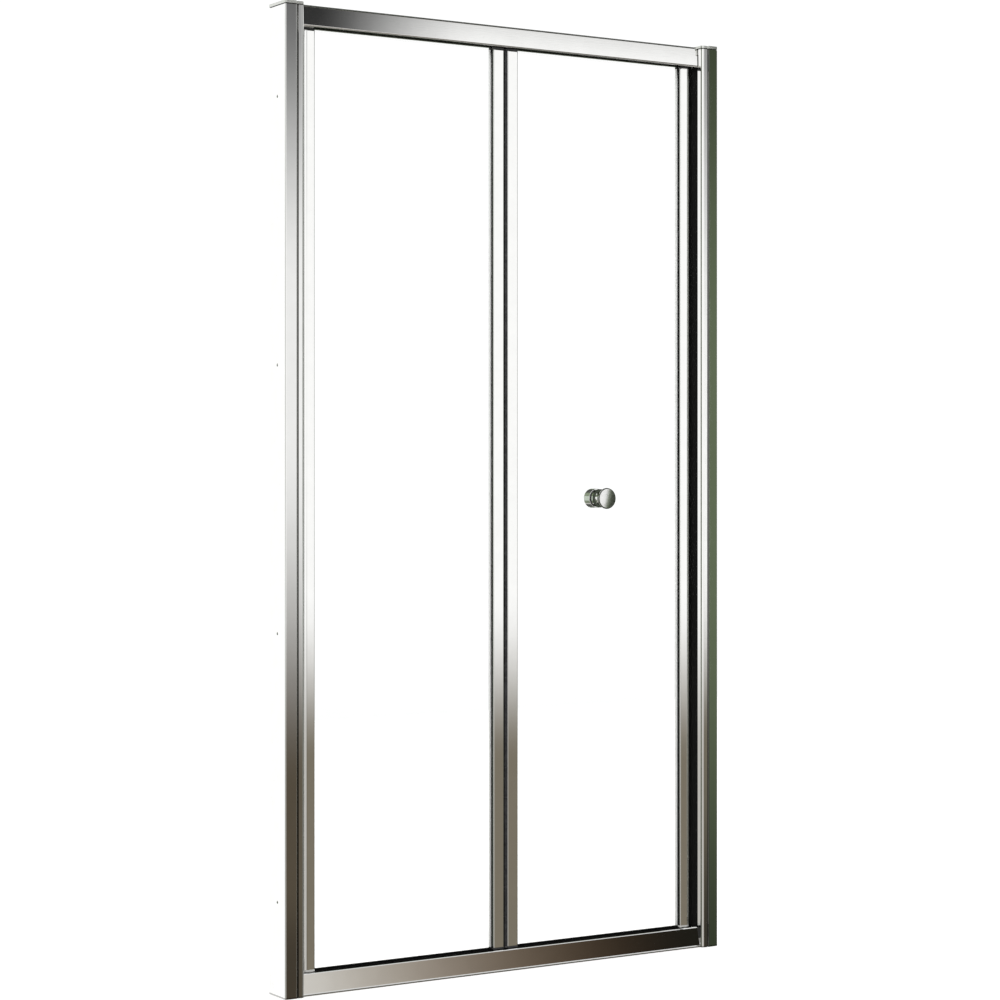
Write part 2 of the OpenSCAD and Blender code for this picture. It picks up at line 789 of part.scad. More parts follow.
module bottom_pivot_block() {
    side_gap = plug_gap / 2;
    floor_z = bottom_track_z - groove_depth;
    color(nylon) difference() {
        translate([-opening_half, -groove_half + side_gap, floor_z])
            cube([pivot_block_l, 2 * (groove_half - side_gap), thrust_z - floor_z]);
        translate([pivot_x, 0, floor_z - cut])
            cylinder(r = pivot_r + running_gap, h = thrust_z - floor_z + 2 * cut);
    }
}

module thrust_washer() {
    color(steel) translate([pivot_x, 0, thrust_z]) difference() {
        cylinder(r = collar_r + 1.6, h = thrust_t);
        translate([0, 0, -cut]) cylinder(r = pivot_r + running_gap, h = thrust_t + 2 * cut);
    }
}

// Rubber blocks in both grooves that end the run of the guide rollers
module travel_stops() {
    side_gap = plug_gap / 2;
    stop_w = 2 * (groove_half - side_gap);
    color(rubber) for (z = [top_track_z + side_gap, bottom_track_z - groove_depth])
        translate([stop_x - stop_l, -stop_w / 2, z]) cube([stop_l, stop_w, groove_depth - side_gap]);
}

// Strip on the left jamb whose fin closes the gap beside the pivot stile
module pivot_seal() {
    base_t = 1.8;
    base_w = 9;
    fin_y = -leaf_t / 2 + fin_t;
    corner_r = min(stile_front_r, stile_edge_r);
    corner_x = pivot_x - leaf_x0 - corner_r;
    corner_y = leaf_t / 2 - corner_r;
    swing_r = sqrt(pow(corner_x, 2) + pow(corner_y, 2)) + corner_r;
    reach = pivot_gap - max(swing_r - (pivot_x - leaf_x0), 0) - fin_clear;
    color(rubber) translate([-opening_half, 0, bottom_rail_h + face_gap])
        linear_extrude(top_lip_z - bottom_rail_h - 2 * face_gap) {
            translate([0, fin_y - base_w / 2]) square([base_t, base_w]);
            translate([0, fin_y - fin_t / 2]) square([reach - fin_t / 2, fin_t]);
            translate([reach - fin_t / 2, fin_y]) circle(fin_t / 2);
        }
}

// Ribbed strip on the right jamb that the closing stile shuts against
module closing_seal() {
    seal_t = closing_gap - closing_clear;
    housing_w = magnet_w + 9;
    rib_r = 0.6;
    y0 = -rail_front + rail_t / 2;
    y1 = rail_back - rail_t;
    color(rubber) translate([opening_half, 0, bottom_rail_h + face_gap])
        linear_extrude(top_lip_z - bottom_rail_h - 2 * face_gap) difference() {
            union() {
                translate([-closing_base_t, y0]) square([closing_base_t, y1 - y0]);
                rounded_rect(-seal_t, -housing_w / 2, -closing_base_t + eps, housing_w / 2,
                             [0.7, 0, 0, 0.7]);
                for (k = [0:2])
                    translate([-closing_base_t, y0 + 4 + 5 * k]) circle(rib_r);
            }
            translate([-seal_t + 0.6, magnet_y - magnet_w / 2]) square([magnet_t, magnet_w]);
        }
}

module jamb_magnet() {
    seal_t = closing_gap - closing_clear;
    color(grey_plastic)
        translate([opening_half - seal_t + 0.6, magnet_y - magnet_w / 2, bottom_rail_h + face_gap])
            cube([magnet_t, magnet_w, top_lip_z - bottom_rail_h - 2 * face_gap]);
}

// ---- Leaf pieces, drawn for the left leaf ----

module stile_outline(front_r, rear_r) {
    rounded_rect(0, -leaf_t / 2, stile_w, leaf_t / 2, [front_r, stile_lip_r, stile_lip_r, rear_r]);
}

module stile_section(front_r, rear_r) {
    difference() {
        stile_outline(front_r, rear_r);
        rounded_rect(stile_t, -channel_half, stile_t + chamber_w, channel_half,
                     [front_r - stile_t, 0, 0, rear_r - stile_t]);
        translate([channel_at, -channel_half])
            square([stile_w - stile_lip_w - channel_at, 2 * channel_half]);
        translate([channel_at, -mouth_half]) square([stile_w - channel_at + cut, 2 * mouth_half]);
    }
}

module outer_stile() {
    translate([0, 0, stile_z0]) linear_extrude(stile_l) stile_section(stile_front_r, stile_edge_r);
}

module hinge_stile() {
    difference() {
        translate([0, 0, stile_z0]) linear_extrude(stile_l) stile_section(hinge_edge_r, hinge_edge_r);
        strip_screw_holes();
    }
}

// Holes in a hinge stile's edge for the screws of its hinge strip
module strip_screw_holes() {
    for (k = [0:strip_screws - 1])
        translate([-cut, strip_screw_y, strip_screw_z(k)])
            rotate([0, 90, 0]) cylinder(r = strip_screw_r + screw_gap, h = stile_t + 2 * cut);
}

function strip_screw_z(k) = stile_z0 + stile_l * (k + 0.5) / strip_screws;

// A gasket between one of a stile's lips and the glass, hooked behind the lip: face is -1 for
// the front and 1 for the rear
module stile_gasket(face) {
    hook = 2.4;
    lip_at = stile_w - stile_lip_w;
    translate([0, 0, stile_z0]) linear_extrude(stile_l) mirror([0, face < 0 ? 1 : 0, 0]) {
        translate([lip_at - hook, glass_t / 2]) square([hook, channel_half - glass_t / 2]);
        translate([lip_at - eps, glass_t / 2])
            square([stile_lip_w + gasket_proud + eps, mouth_half - glass_t / 2]);
    }
}

// Plate that closes one end of a stile, with a plug into its chamber; the plate lies on z = 0
// and the plug stands up from it
module stile_cap(front_r, rear_r, bore_r) {
    difference() {
        union() {
            linear_extrude(stile_cap_t) stile_outline(front_r, rear_r);
            translate([0, 0, stile_cap_t - eps]) linear_extrude(stile_cap_plug + eps)
                rounded_rect(stile_t + plug_gap / 2, -channel_half + plug_gap / 2,
                             stile_t + chamber_w - plug_gap / 2, channel_half - plug_gap / 2,
                             [front_r - stile_t, 0, 0, rear_r - stile_t]);
        }
        translate([glass_at - plug_gap, -glass_t / 2 - plug_gap, -cut])
            cube([stile_w, glass_t + 2 * plug_gap, stile_cap_t + 2 * cut]);
        if (bore_r > 0)
            translate([stile_t + chamber_w / 2, 0, -cut])
                cylinder(r = bore_r, h = stile_cap_t + stile_cap_plug + 2 * cut);
    }
}

module at_bottom() {
    translate([0, 0, leaf_z0]) children();
}

module at_top() {
    translate([0, 0, leaf_z1]) mirror([0, 0, 1]) children();
}

module outer_stile_cap(bore_r) {
    stile_cap(stile_front_r, stile_edge_r, bore_r);
}

module glass_pane() {
    translate([glass_x0, -glass_t / 2, glass_z0]) cube([glass_w, glass_t, glass_h]);
}

// Channel over the bottom edge of the glass between the two stiles
module bottom_seal() {
    end_gap = gasket_proud + face_gap;
    half = glass_t / 2 + seal_leg_t;
    along_x(leaf_x0 + stile_w + end_gap, leaf_x0 + leaf_w - stile_w - end_gap) difference() {
        rounded_rect(-half, leaf_z0, half, leaf_z0 + bottom_seal_h, [1, 1, 0, 0]);
        translate([-glass_t / 2, glass_z0]) square([glass_t, bottom_seal_h]);
    }
}

// Knuckles of one hinge strip: first is 0 for the left strip and 1 for the right one
module hinge_strip(first) {
    inner_x = leaf_x0 + leaf_w;
    web_w = hinge_x - inner_x - hinge_pin_r - running_gap - 0.4;
    difference() {
        union() {
            translate([inner_x, strip_y0, stile_z0]) cube([strip_t, strip_y1 - strip_y0, stile_l]);
            for (k = [first:2:knuckles - 1])
                translate([0, 0, stile_z0 + k * knuckle_pitch + knuckle_gap / 2]) {
                    translate([hinge_x, hinge_y, 0])
                        cylinder(r = knuckle_r, h = knuckle_pitch - knuckle_gap);
                    translate([inner_x, hinge_y, 0])
                        cube([web_w, strip_y0 - hinge_y + eps, knuckle_pitch - knuckle_gap]);
                }
        }
        translate([hinge_x, hinge_y, stile_z0 - cut])
            cylinder(r = hinge_pin_r + running_gap, h = stile_l + 2 * cut);
        for (k = [0:strip_screws - 1])
            translate([inner_x, strip_screw_y, strip_screw_z(k)]) rotate([0, 90, 0]) {
                translate([0, 0, -cut]) cylinder(r = strip_screw_r + screw_gap, h = strip_t + 2 * cut);
                cylinder(r1 = strip_screw_r + screw_gap, r2 = strip_head_r + screw_gap, h = strip_t);
            }
    }
}

module strip_fixings() {
    inner_x = leaf_x0 + leaf_w;
    for (k = [0:strip_screws - 1])
        translate([inner_x, strip_screw_y, strip_screw_z(k)]) rotate([0, 90, 0]) {
            translate([0, 0, -strip_screw_l]) cylinder(r = strip_screw_r, h = strip_screw_l + eps);
            cylinder(r1 = strip_screw_r, r2 = strip_head_r, h = strip_t);
        }
}

module left_glass() {
    color(clear_glass) glass_pane();
}

module pivot_stile() {
    color(metal) at_outer_stile() outer_stile();
}

module left_hinge_stile() {
    color(metal) at_inner_stile() hinge_stile();
}

module leaf_gaskets(face) {
    at_outer_stile() stile_gasket(face);
    at_inner_stile() stile_gasket(face);
}

module left_front_gaskets() {
    color(rubber) leaf_gaskets(-1);
}

module left_rear_gaskets() {
    color(clear_plastic) leaf_gaskets(1);
}

module pivot_stile_top_cap() {
    color(grey_plastic) at_outer_stile() at_top() outer_stile_cap(pivot_r + screw_gap);
}

module pivot_stile_bottom_cap() {
    color(nylon) at_outer_stile() at_bottom() outer_stile_cap(pivot_r + screw_gap);
}

module hinge_stile_caps() {
    at_inner_stile() {
        at_top() stile_cap(hinge_edge_r, hinge_edge_r, 0);
        at_bottom() stile_cap(hinge_edge_r, hinge_edge_r, 0);
    }
}

module left_hinge_stile_caps() {
    color(grey_plastic) hinge_stile_caps();
}

// A round pin with a collar against the leaf's end; it stands up from the groove's floor
module top_pivot_pin() {
    z0 = leaf_z1 - stile_cap_t - stile_cap_plug;
    z1 = top_track_z + groove_depth - pin_tail;
    color(steel) translate([pivot_x, 0, 0]) {
        translate([0, 0, z0]) cylinder(r = pivot_r, h = z1 - z0);
        translate([0, 0, leaf_z1]) cylinder(r = collar_r, h = collar_t);
    }
}

module bottom_pivot_pin() {
    z0 = bottom_track_z - groove_depth + pin_tail;
    z1 = leaf_z0 + stile_cap_t + stile_cap_plug;
    color(steel) translate([pivot_x, 0, 0]) {
        translate([0, 0, z0]) cylinder(r = pivot_r, h = z1 - z0);
        translate([0, 0, leaf_z0 - collar_t]) cylinder(r = collar_r, h = collar_t);
    }
}

module left_hinge_strip() {
    color(grey_plastic) hinge_strip(0);
}

module left_hinge_screws() {
    color(steel) strip_fixings();
}

module hinge_pin() {
    color(steel) translate([hinge_x, hinge_y, 0]) {
        translate([0, 0, stile_z0 - hinge_head_t]) cylinder(r = hinge_pin_r, h = stile_l + 2 * hinge_head_t);
        for (z = [stile_z0 - hinge_head_t, stile_z1])
            translate([0, 0, z]) cylinder(r = knuckle_r - 0.5, h = hinge_head_t);
    }
}

// Soft strip on the left hinge strip that closes the gap between the shut leaves
module hinge_seal() {
    strip_face = leaf_x0 + leaf_w + strip_t;
    reach = hinge_gap - 2 * strip_t - face_gap;
    color(rubber) translate([0, 0, stile_z0]) linear_extrude(stile_l)
        rounded_rect(strip_face, hinge_seal_y, strip_face + reach, hinge_seal_y + hinge_seal_h,
                     [0, 1.2, 1.2, 0]);
}

module left_bottom_seal() {
    color(rubber) bottom_seal();
}

// ---- Right leaf ----

module right_glass() {
    color(clear_glass) difference() {
        right_leaf() glass_pane();
        translate([knob_x, glass_t, knob_z]) rotate([90, 0, 0])
            cylinder(r = glass_hole_r, h = 2 * glass_t);
    }
}

module right_hinge_stile() {
    color(metal) right_leaf() at_inner_stile() hinge_stile();
}

module closing_stile() {
    color(metal) right_leaf() at_outer_stile() outer_stile();
}

module right_front_gaskets() {
    color(rubber) right_leaf() leaf_gaskets(-1);
}

module right_rear_gaskets() {
    color(clear_plastic) right_leaf() leaf_gaskets(1);
}

module closing_stile_top_cap() {
    color(grey_plastic) right_leaf() at_outer_stile() at_top() outer_stile_cap(guide_r + screw_gap);
}

module closing_stile_bottom_cap() {
    color(nylon) right_leaf() at_outer_stile() at_bottom() outer_stile_cap(guide_r + screw_gap);
}

module right_hinge_stile_caps() {
    color(grey_plastic) right_leaf() hinge_stile_caps();
}

module right_hinge_strip() {
    color(grey_plastic) right_leaf() hinge_strip(1);
}

module right_hinge_screws() {
    color(steel) right_leaf() strip_fixings();
}

module right_bottom_seal() {
    color(rubber) right_leaf() bottom_seal();
}

// Magnet strip inside the closing stile, against its outer wall
module leaf_magnet() {
    end_gap = stile_cap_plug + 5;
    color(grey_plastic) right_leaf() at_outer_stile()
        translate([stile_t, magnet_y - magnet_w / 2, stile_z0 + end_gap])
            cube([magnet_t, magnet_w, stile_l - 2 * end_gap]);
}

// A guide pin stands out of the closing stile's end; its roller runs between two heads
module guide_pin(z0, z1, roller_z) {
    color(steel) translate([guide_x, 0, 0]) {
        translate([0, 0, z0]) cylinder(r = guide_r, h = z1 - z0);
        for (z = [roller_z - face_gap - guide_head_t, roller_z + roller_h + face_gap])
            translate([0, 0, z]) cylinder(r = guide_head_r, h = guide_head_t);
    }
}

module top_guide_pin() {
    guide_pin(leaf_z1 - stile_cap_t - stile_cap_plug,
              top_roller_z + roller_h + face_gap + guide_head_t, top_roller_z);
}

module bottom_guide_pin() {
    guide_pin(bottom_roller_z - face_gap - guide_head_t,
              leaf_z0 + stile_cap_t + stile_cap_plug, bottom_roller_z);
}

module guide_roller(z) {
    color(nylon) translate([guide_x, 0, z]) rotate_extrude()
        rounded_rect(guide_r + running_gap, 0, roller_r, roller_h, [0, 1, 1, 0]);
}

module top_guide_roller() {
    guide_roller(top_roller_z);
}

module bottom_guide_roller() {
    guide_roller(bottom_roller_z);
}

// ---- Knob ----

// A piece turned on the knob's axis: its profile is drawn as radius and distance from the glass
module turned(face) {
    translate([knob_x, face * glass_t / 2, knob_z]) rotate([-90 * face, 0, 0])
        rotate_extrude($fn = 96) children();
}

// Spool shape: a base flange, a hollowed neck and a wide, slightly domed front face
module front_knob() {
    edge_r = 2.2;
    face_z = washer_t + knob_l;
    dome_lean = asin((knob_face_r - edge_r) / (knob_dome_r - edge_r));
    base_z = washer_t + knob_base_t;
    dome_drop = knob_dome_r - (knob_dome_r - edge_r) * cos(dome_lean);
    rim_z = face_z - dome_drop - knob_rim_t;
    rise = knob_face_r - 0.6 - knob_neck_r;
    flare_r = (pow(rise, 2) + pow(rim_z - knob_waist_at, 2)) / (2 * rise);
    color(metal) turned(-1) difference() {
        union() {
            rounded_rect(0, washer_t, knob_base_r, base_z, [0, 0.5, 1, 0]);
            difference() {
                translate([0, base_z - eps]) square([knob_face_r - 0.5, rim_z - base_z + 2 * eps]);
                translate([knob_neck_r + flare_r, knob_waist_at]) circle(flare_r, $fn = 360);
            }
            difference() {
                intersection() {
                    rounded_rect(0, rim_z, knob_face_r, face_z, [0, 0.6, 0, 0]);
                    translate([0, face_z - knob_dome_r]) circle(knob_dome_r, $fn = 360);
                }
                mirror([0, 1, 0])
                    front_corner_cut(knob_face_r - edge_r, dome_drop - face_z, edge_r,
                                     -dome_lean, -1);
            }
        }
        translate([-cut, washer_t - cut]) square([knob_screw_r + screw_gap + cut, knob_tap_l + cut]);
    }
}

module rear_knob() {
    rim_z = washer_t + rear_knob_l;
    color(metal) turned(1) difference() {
        rounded_rect(0, washer_t, rear_knob_r, rim_z, [0, 0.6, 1.8, 0]);
        translate([-cut, washer_t - cut])
            square([knob_screw_r + screw_gap + cut, rear_knob_l + 2 * cut]);
        translate([-cut, knob_seat]) square([knob_socket_r + screw_gap + cut, knob_head_h + 2]);
    }
}

// Cap screw with a hexagon socket, from the rear knob into the front one
module knob_screw() {
    color(steel) translate([knob_x, glass_t / 2 + knob_seat, knob_z]) rotate([90, 0, 0]) difference() {
        union() {
            translate([0, 0, -knob_head_h]) cylinder(r = knob_socket_r, h = knob_head_h);
            translate([0, 0, -eps]) cylinder(r = knob_screw_r, h = knob_screw_l + eps);
        }
        translate([0, 0, -knob_head_h - cut]) cylinder(r = knob_screw_r, h = 2.5 + cut, $fn = 6);
    }
}

module knob_washers() {
    color(rubber) for (face = [-1, 1]) turned(face)
        translate([bush_r + 0.2, 0]) square([washer_r - bush_r - 0.2, washer_t]);
}

module knob_bush() {
    bore = knob_screw_r + screw_gap;
    color(nylon) turned(1) translate([bore, -glass_t - washer_t])
        square([bush_r - bore, glass_t + 2 * washer_t]);
}

left_wall_profile();
right_wall_profile();
left_jamb();
right_jamb();
left_wall_profile_cap();
right_wall_profile_cap();
left_jamb_cap();
right_jamb_cap();
top_rail();
bottom_rail();
top_track();
bottom_track();
rail_screws();
left_jamb_screws();
right_jamb_screws();
left_screw_covers();
right_screw_covers();
top_pivot_block();
bottom_pivot_block();
thrust_washer();
travel_stops();
pivot_seal();
closing_seal();
jamb_magnet();
left_glass();
pivot_stile();
left_hinge_stile();
left_front_gaskets();
left_rear_gaskets();
pivot_stile_top_cap();
pivot_stile_bottom_cap();
left_hinge_stile_caps();
top_pivot_pin();
bottom_pivot_pin();
left_hinge_strip();
left_hinge_screws();
hinge_pin();
hinge_seal();
left_bottom_seal();
right_glass();
right_hinge_stile();
closing_stile();
right_front_gaskets();
right_rear_gaskets();
closing_stile_top_cap();
closing_stile_bottom_cap();
right_hinge_stile_caps();
right_hinge_strip();
right_hinge_screws();
right_bottom_seal();
leaf_magnet();
top_guide_pin();
bottom_guide_pin();
front_knob();
rear_knob();
knob_screw();
knob_washers();
knob_bush();
top_guide_roller();
bottom_guide_roller();
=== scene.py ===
import math

import bpy
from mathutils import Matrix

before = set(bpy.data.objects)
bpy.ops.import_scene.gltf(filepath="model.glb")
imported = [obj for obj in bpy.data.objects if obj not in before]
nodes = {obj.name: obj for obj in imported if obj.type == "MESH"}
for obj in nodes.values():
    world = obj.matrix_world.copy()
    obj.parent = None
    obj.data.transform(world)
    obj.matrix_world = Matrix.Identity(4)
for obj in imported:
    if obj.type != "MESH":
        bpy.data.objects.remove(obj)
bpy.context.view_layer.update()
print("door frame loaded:", len(nodes), "nodes")


# the camera stands where the photograph was taken
view = {
    "place": (-2.681, -4.238, 0.986),
    "turn": (90.0, 0.0, -32.31),
    "lens": 91.6,
    "shiftY": -0.0329,
}

cameraData = bpy.data.cameras.new("doorCamera")
cameraData.lens = view["lens"]
cameraData.sensor_width = 36.0
cameraData.shift_y = view["shiftY"]
camera = bpy.data.objects.new("doorCamera", cameraData)
camera.location = view["place"]
camera.rotation_euler = [math.radians(a) for a in view["turn"]]
bpy.context.scene.collection.objects.link(camera)
bpy.context.scene.camera = camera


def newTree(name):
    material = bpy.data.materials.new(name)
    material.use_nodes = True
    tree = material.node_tree
    return material, tree, tree.nodes["Principled BSDF"]


def feed(tree, source, target):
    # a socket is linked, anything else is set as a plain value
    if isinstance(source, bpy.types.NodeSocket):
        tree.links.new(source, target)
    else:
        target.default_value = source


def mathNode(tree, operation, a, b=None, c=None, clamp=False):
    node = tree.nodes.new("ShaderNodeMath")
    node.operation = operation
    node.use_clamp = clamp
    for socket, value in zip(node.inputs, (a, b, c)):
        if value is not None:
            feed(tree, value, socket)
    return node.outputs[0]


def rampNode(tree, factor, stops):
    # stops are (position, colour) pairs, with soft steps between them
    node = tree.nodes.new("ShaderNodeValToRGB")
    node.color_ramp.interpolation = "EASE"
    elements = node.color_ramp.elements
    while len(elements) < len(stops):
        elements.new(0.5)
    for element, (place, colour) in zip(elements, stops):
        element.position = place
        element.color = (*colour, 1.0)
    feed(tree, factor, node.inputs["Fac"])
    return node.outputs["Color"]


def mixColour(tree, factor, a, b):
    node = tree.nodes.new("ShaderNodeMix")
    node.data_type = "RGBA"
    feed(tree, factor, node.inputs[0])
    for source, socket in ((a, node.inputs[6]), (b, node.inputs[7])):
        feed(tree, source if isinstance(source, bpy.types.NodeSocket) else (*source, 1.0), socket)
    return node.outputs[2]


def mapRange(tree, value, fromLow, fromHigh, toLow=0.0, toHigh=1.0):
    node = tree.nodes.new("ShaderNodeMapRange")
    feed(tree, value, node.inputs["Value"])
    for key, number in (("From Min", fromLow), ("From Max", fromHigh),
                        ("To Min", toLow), ("To Max", toHigh)):
        feed(tree, number, node.inputs[key])
    return node.outputs["Result"]


def noiseNode(tree, vector, scale, detail, roughness):
    node = tree.nodes.new("ShaderNodeTexNoise")
    feed(tree, vector, node.inputs["Vector"])
    for key, value in (("Scale", scale), ("Detail", detail), ("Roughness", roughness)):
        feed(tree, value, node.inputs[key])
    return node.outputs["Fac"]


def scaled(tree, vector, factors):
    node = tree.nodes.new("ShaderNodeVectorMath")
    node.operation = "MULTIPLY"
    feed(tree, vector, node.inputs[0])
    feed(tree, factors, node.inputs[1])
    return node.outputs[0]


def newGroup(name, inputs, outputs):
    group = bpy.data.node_groups.new(name, "ShaderNodeTree")
    for label, kind, value in inputs:
        socket = group.interface.new_socket(label, in_out="INPUT", socket_type=kind)
        socket.default_value = value
    for label, kind in outputs:
        group.interface.new_socket(label, in_out="OUTPUT", socket_type=kind)
    entry = group.nodes.new("NodeGroupInput")
    end = group.nodes.new("NodeGroupOutput")
    return group, entry.outputs, end.inputs


def place(tree, group, values):
    node = tree.nodes.new("ShaderNodeGroup")
    node.node_tree = group
    for label, value in values.items():
        feed(tree, value, node.inputs[label])
    return node.outputs


def objectPoint(tree):
    return tree.nodes.new("ShaderNodeTexCoord").outputs["Object"]


def splitPoint(tree):
    split = tree.nodes.new("ShaderNodeSeparateXYZ")
    tree.links.new(objectPoint(tree), split.inputs[0])
    return split.outputs


def addBump(tree, shader, height, strength, distance):
    bump = tree.nodes.new("ShaderNodeBump")
    bump.inputs["Strength"].default_value = strength
    bump.inputs["Distance"].default_value = distance
    tree.links.new(height, bump.inputs["Height"])
    tree.links.new(bump.outputs["Normal"], shader.inputs["Normal"])


polishLook = {
    "haze": 0.5,
    "mottleHeight": 0.35,  # beside the die lines
    "wipeTurn": (0.5, 0.7, 0.3),
    "wipeStretch": (1.0, 9.0, 1.0),
    "wipeScale": 14.0,
    "wipeRange": (0.45, 0.75),
    "toneRange": (0.3, 0.7),
}


def makePolishGroup():
    # fine die lines along a profile, a soft mottle and a few hazy wipe marks
    group, entry, end = newGroup(
        "polishedSurface",
        [("Stretch", "NodeSocketVector", (1.0, 1.0, 1.0)),
         ("Line Scale", "NodeSocketFloat", 1400.0),
         ("Mottle Scale", "NodeSocketFloat", 38.0),
         ("Haze", "NodeSocketFloat", polishLook["haze"])],
        [("Height", "NodeSocketFloat"), ("Gloss", "NodeSocketFloat"), ("Tone", "NodeSocketFloat")])
    point = objectPoint(group)
    lines = noiseNode(group, scaled(group, point, entry["Stretch"]), entry["Line Scale"], 2.0, 0.6)
    mottle = noiseNode(group, point, entry["Mottle Scale"], 4.0, 0.55)
    turned = group.nodes.new("ShaderNodeMapping")
    turned.inputs["Rotation"].default_value = polishLook["wipeTurn"]
    turned.inputs["Scale"].default_value = polishLook["wipeStretch"]
    group.links.new(point, turned.inputs["Vector"])
    wipes = noiseNode(group, turned.outputs["Vector"], polishLook["wipeScale"], 5.0, 0.65)
    hazed = mapRange(group, wipes, *polishLook["wipeRange"])
    feed(group, mathNode(group, "MULTIPLY_ADD", mottle, polishLook["mottleHeight"], lines), end["Height"])
    feed(group, mathNode(group, "MULTIPLY", hazed, entry["Haze"]), end["Gloss"])
    feed(group, mapRange(group, mottle, *polishLook["toneRange"]), end["Tone"])
    return group


def makeMouldGroup():
    # the fine texture of moulded or extruded plastic with slight shade differences
    group, entry, end = newGroup(
        "mouldedSurface",
        [("Grain Scale", "NodeSocketFloat", 900.0),
         ("Cloud Scale", "NodeSocketFloat", 20.0),
         ("Stretch", "NodeSocketVector", (1.0, 1.0, 1.0))],
        [("Height", "NodeSocketFloat"), ("Cloud", "NodeSocketFloat")])
    point = scaled(group, objectPoint(group), entry["Stretch"])
    cloud = noiseNode(group, point, entry["Cloud Scale"], 4.0, 0.6)
    feed(group, noiseNode(group, point, entry["Grain Scale"], 2.0, 0.5), end["Height"])
    feed(group, mapRange(group, cloud, 0.3, 0.7), end["Cloud"])
    return group


polishGroup = makePolishGroup()
mouldGroup = makeMouldGroup()
print("surface groups built")


profileFinish = {
    "light": (0.97, 0.97, 0.965),
    "dull": (0.94, 0.94, 0.935),
    "rough": (0.02, 0.045),
    "metal": 1.0,
    "lines": 1400.0,
    "mottle": 38.0,
    "bump": (0.012, 0.0004),
    "footTop": 0.0028,  # painted shade darkens the lowest edges up to here
    "footTone": (0.5, 0.5, 0.49),
    "paintedShadeStrips": ((-0.4744, 0.002), (0.4765, 0.0018)),  # painted shade also darkens the strips beside the wall profiles
    "paintedStripTone": (0.2, 0.2, 0.19),
}

metalFinishes = {
    "polishedUpright": {**profileFinish, "stretch": (1.0, 1.0, 0.02)},
    "polishedRail": {**profileFinish, "stretch": (0.02, 1.0, 1.0)},
    "turnedSteel": {"light": (0.66, 0.66, 0.67), "dull": (0.48, 0.48, 0.49), "rough": (0.22, 0.36),
                    "metal": 1.0, "stretch": (1.0, 1.0, 1.0), "lines": 2200.0, "mottle": 160.0,
                    "bump": (0.08, 0.0002)},
    # dark anodised, slightly greyer where the film is thin
    "darkHinge": {"light": (0.055, 0.055, 0.058), "dull": (0.022, 0.022, 0.024), "rough": (0.3, 0.5),
                  "metal": 0.6, "stretch": (1.0, 1.0, 0.05), "lines": 1400.0, "mottle": 120.0,
                  "bump": (0.08, 0.0003)},
}


def polishMasks(tree, finish):
    values = {"Stretch": finish["stretch"], "Line Scale": finish["lines"], "Mottle Scale": finish["mottle"]}
    masks = place(tree, polishGroup, values)
    tone = mixColour(tree, masks["Tone"], finish["dull"], finish["light"])
    rough = mapRange(tree, masks["Gloss"], 0.0, polishLook["haze"], *finish["rough"])
    return masks, tone, rough


def makeMetal(name):
    finish = metalFinishes[name]
    material, tree, shader = newTree(name)
    masks, tone, rough = polishMasks(tree, finish)
    if "paintedShadeStrips" in finish:
        point = splitPoint(tree)
        # painted shade: the lowest edges are darkened
        foot = mathNode(tree, "LESS_THAN", point["Z"], finish["footTop"])
        tone = mixColour(tree, foot, tone, finish["footTone"])
        # painted shade: the strips beside the wall profiles are darkened
        for middle, half in finish["paintedShadeStrips"]:
            paintedStrip = mathNode(tree, "COMPARE", point["X"], middle, half)
            tone = mixColour(tree, paintedStrip, tone, finish["paintedStripTone"])
    feed(tree, tone, shader.inputs["Base Color"])
    feed(tree, rough, shader.inputs["Roughness"])
    shader.inputs["Metallic"].default_value = finish["metal"]
    addBump(tree, shader, masks["Height"], *finish["bump"])
    return material


knobFinish = {
    "light": (0.97, 0.97, 0.97),
    "dull": (0.9, 0.9, 0.9),
    "rough": (0.04, 0.08),
    "stretch": (1.0, 0.2, 1.0),
    "lines": 500.0,
    "mottle": 90.0,
    "axis": (0.2328, 0.923),
    "faceRough": 0.19,  # the front face is satin
    "faceAt": -0.0335,  # and lies beyond this distance from the glass plane
    "dome": 0.5,
    "crownX": 0.2205,  # where its slight crown is highest
    "slant": 0.33,  # the crown's line leans to the right
    "curve": 5.2,
    "lift": 0.03,
    "paintedRimAt": 0.0192,  # painted dark reflection on the face outside this radius
    "collar": (-0.0091, 0.0007),  # painted dark reflection on the flange's front
    # colour of the painted dark reflections on the knob
    "dark": (0.06, 0.07, 0.055),
}


def knobFaceNormal(tree, point, across, up):
    # worked out for the dome of the piece and a slight crown on it, since the mesh has a pole there
    off = mathNode(tree, "SUBTRACT", mathNode(tree, "SUBTRACT", point["X"], knobFinish["crownX"]),
                   mathNode(tree, "MULTIPLY", up, knobFinish["slant"]))
    lean = mathNode(tree, "MULTIPLY", off, knobFinish["curve"])
    normalX = mathNode(tree, "MULTIPLY_ADD", across, 1.0 / knobFinish["dome"], lean)
    normalZ = mathNode(tree, "MULTIPLY_ADD", up, 1.0 / knobFinish["dome"],
                       mathNode(tree, "MULTIPLY_ADD", lean, -knobFinish["slant"], knobFinish["lift"]))
    joined = tree.nodes.new("ShaderNodeCombineXYZ")
    for value, socket in zip((normalX, -1.0, normalZ), joined.inputs):
        feed(tree, value, socket)
    turned = tree.nodes.new("ShaderNodeVectorTransform")
    turned.vector_type = "NORMAL"
    turned.convert_from = "OBJECT"
    turned.convert_to = "WORLD"
    tree.links.new(joined.outputs[0], turned.inputs[0])
    return turned.outputs[0]


